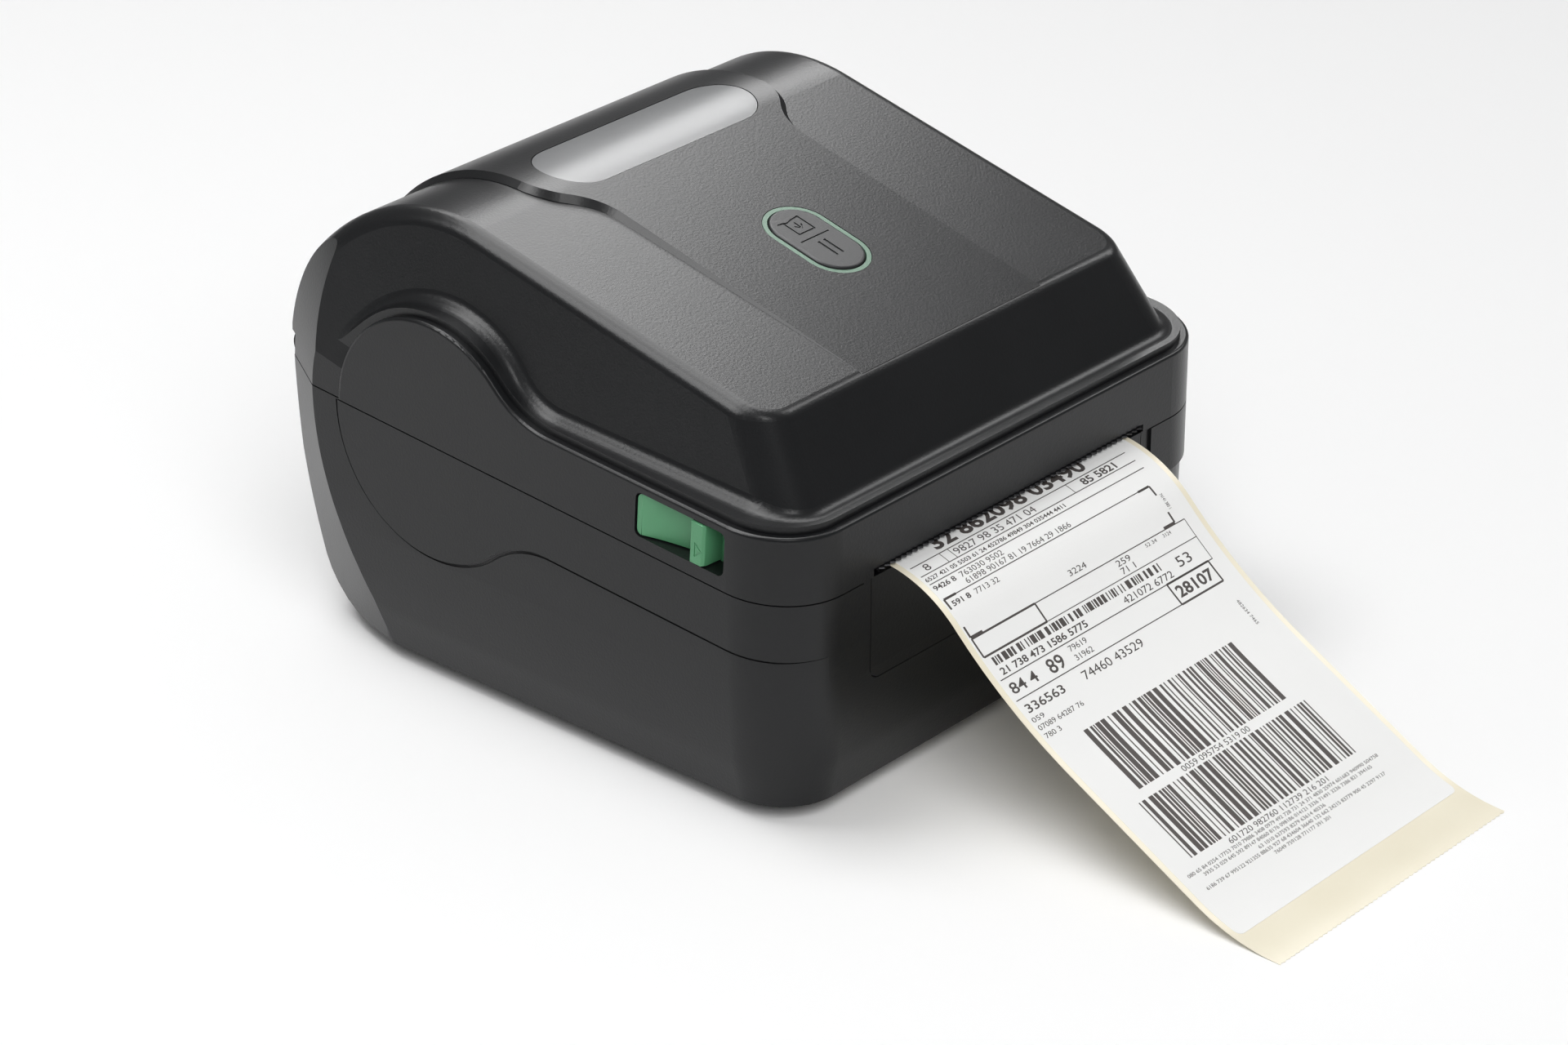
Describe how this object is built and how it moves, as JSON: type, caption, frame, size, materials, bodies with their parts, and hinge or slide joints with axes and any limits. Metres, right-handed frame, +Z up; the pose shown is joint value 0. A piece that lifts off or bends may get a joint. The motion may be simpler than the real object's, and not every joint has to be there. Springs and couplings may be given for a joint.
{
  "type": "thermal label printer",
  "caption": "Desktop thermal label printer with a hinged lid, viewing window, feed button, side release tabs and a label strip leaving its front slot.",
  "frame": {"origin": "on the ground under the middle of the case, on the sole of the middle foot", "axes": "+X to the printer's left as seen from the front, -Y out of the label slot, +Z up"},
  "size_m": [0.1892, 0.3378, 0.144],
  "materials": {
    "case_plastic": "satin, fine grain",
    "inner_plastic": "matte",
    "green_plastic": "satin",
    "key_plastic": "satin",
    "light_plastic": "translucent",
    "clear_plastic": "clear",
    "paper": "matte paper",
    "card": "cardboard",
    "rubber": "matte",
    "steel": "brushed",
    "aluminium": "satin",
    "brass": "satin",
    "gear_plastic": "satin",
    "board": "satin",
    "ceramic": "glazed"
  },
  "bodies": {
    "base": {"base_shell": "case_plastic", "media_tray": "inner_plastic", "front_panel": "case_plastic", "rubber_feet": "rubber", "case_screws": "steel", "main_board": "board", "usb_port": "steel", "power_jack": "key_plastic", "switch_housing": "key_plastic", "drive_motor": "steel", "drive_bracket": "steel", "end_bracket": "steel", "platen_bushes": "brass", "idler_stud": "steel", "hinge_pins": "steel", "media_sensor": "key_plastic", "latch_catches": "steel", "guide_axle": "steel", "rack_cover": "inner_plastic", "label_strip": "paper"},
    "roll": {"roll_core": "card", "label_roll": "paper"},
    "platen": {"platen_shaft": "steel", "platen_rubber": "rubber", "platen_gear": "gear_plastic"},
    "idler": {"idler_gear": "gear_plastic"},
    "pinion": {"motor_pinion": "brass"},
    "guide_l": {"guide_left": "green_plastic"},
    "guide_r": {"guide_right": "green_plastic"},
    "guide_wheel": {"guide_pinion": "gear_plastic"},
    "rocker": {"power_rocker": "key_plastic"},
    "lid": {"lid_shell": "case_plastic", "lid_liner": "inner_plastic", "liner_screws": "steel", "view_window": "clear_plastic", "button_board": "board", "light_ring": "light_plastic", "tear_bar": "steel", "head_pivot_pin": "steel", "web_guide_bar": "inner_plastic", "head_springs": "steel"},
    "button": {"feed_button": "key_plastic"},
    "tab_l": {"release_tab_left": "green_plastic"},
    "tab_r": {"release_tab_right": "green_plastic"},
    "head": {"print_head": "ceramic", "heat_sink": "aluminium", "head_bracket": "steel"}
  },
  "joints": [
    {"name": "lid_hinge", "type": "hinge", "parent": "base", "child": "lid", "pos_m": [0, 0.097, 0.08416], "axis": [-1, 0, 0], "range_deg": [0, 95]},
    {"name": "roll_spin", "type": "hinge", "parent": "base", "child": "roll", "pos_m": [0, 0.032, 0.08], "axis": [1, 0, 0], "continuous": true},
    {"name": "platen_spin", "type": "hinge", "parent": "base", "child": "platen", "pos_m": [0, -0.086, 0.06398], "axis": [1, 0, 0], "continuous": true},
    {"name": "idler_spin", "type": "hinge", "parent": "base", "child": "idler", "pos_m": [0, -0.07916, 0.04518], "axis": [1, 0, 0], "continuous": true},
    {"name": "pinion_spin", "type": "hinge", "parent": "base", "child": "pinion", "pos_m": [0, -0.07621, 0.02844], "axis": [1, 0, 0], "continuous": true},
    {"name": "guide_left_slide", "type": "slide", "parent": "base", "child": "guide_l", "axis": [-1, 0, 0], "range_m": [0, 0.0105], "stiffness_N_per_m": 60, "springref_m": -0.02},
    {"name": "guide_right_slide", "type": "slide", "parent": "base", "child": "guide_r", "axis": [1, 0, 0], "range_m": [0, 0.0105]},
    {"name": "guide_wheel_turn", "type": "hinge", "parent": "base", "child": "guide_wheel", "pos_m": [0, 0.032, 0.0204], "axis": [0, 0, 1], "range_deg": [-72, 0]},
    {"name": "rocker_tilt", "type": "hinge", "parent": "base", "child": "rocker", "pos_m": [-0.055, 0.095, 0.04], "axis": [0, 0, 1], "range_deg": [0, 8]},
    {"name": "feed_press", "type": "slide", "parent": "lid", "child": "button", "axis": [0, 0.2389, -0.971], "range_m": [0, 0.0008], "stiffness_N_per_m": 900, "springref_m": -0.0006},
    {"name": "tab_left_slide", "type": "slide", "parent": "lid", "child": "tab_l", "axis": [0, -0.9977, -0.0685], "range_m": [0, 0.005], "stiffness_N_per_m": 250, "springref_m": -0.004},
    {"name": "tab_right_slide", "type": "slide", "parent": "lid", "child": "tab_r", "axis": [0, -0.9977, -0.0685], "range_m": [0, 0.005], "stiffness_N_per_m": 250, "springref_m": -0.004},
    {"name": "head_float", "type": "hinge", "parent": "lid", "child": "head", "pos_m": [0, -0.07, 0.089], "axis": [-1, 0, 0], "range_deg": [0, 3], "stiffness_Nm_per_rad": 6, "springref_deg": -3.44, "deforming": ["head_springs"]}
  ],
  "couplings": [
    {"joint": "platen_spin", "follows": "roll_spin", "ratio": 7.4286},
    {"joint": "idler_spin", "follows": "roll_spin", "ratio": -4.4571},
    {"joint": "pinion_spin", "follows": "roll_spin", "ratio": 12.381},
    {"joint": "guide_right_slide", "follows": "guide_left_slide", "ratio": 1},
    {"joint": "guide_wheel_turn", "follows": "guide_left_slide", "rad_per_m": -111.11}
  ]
}
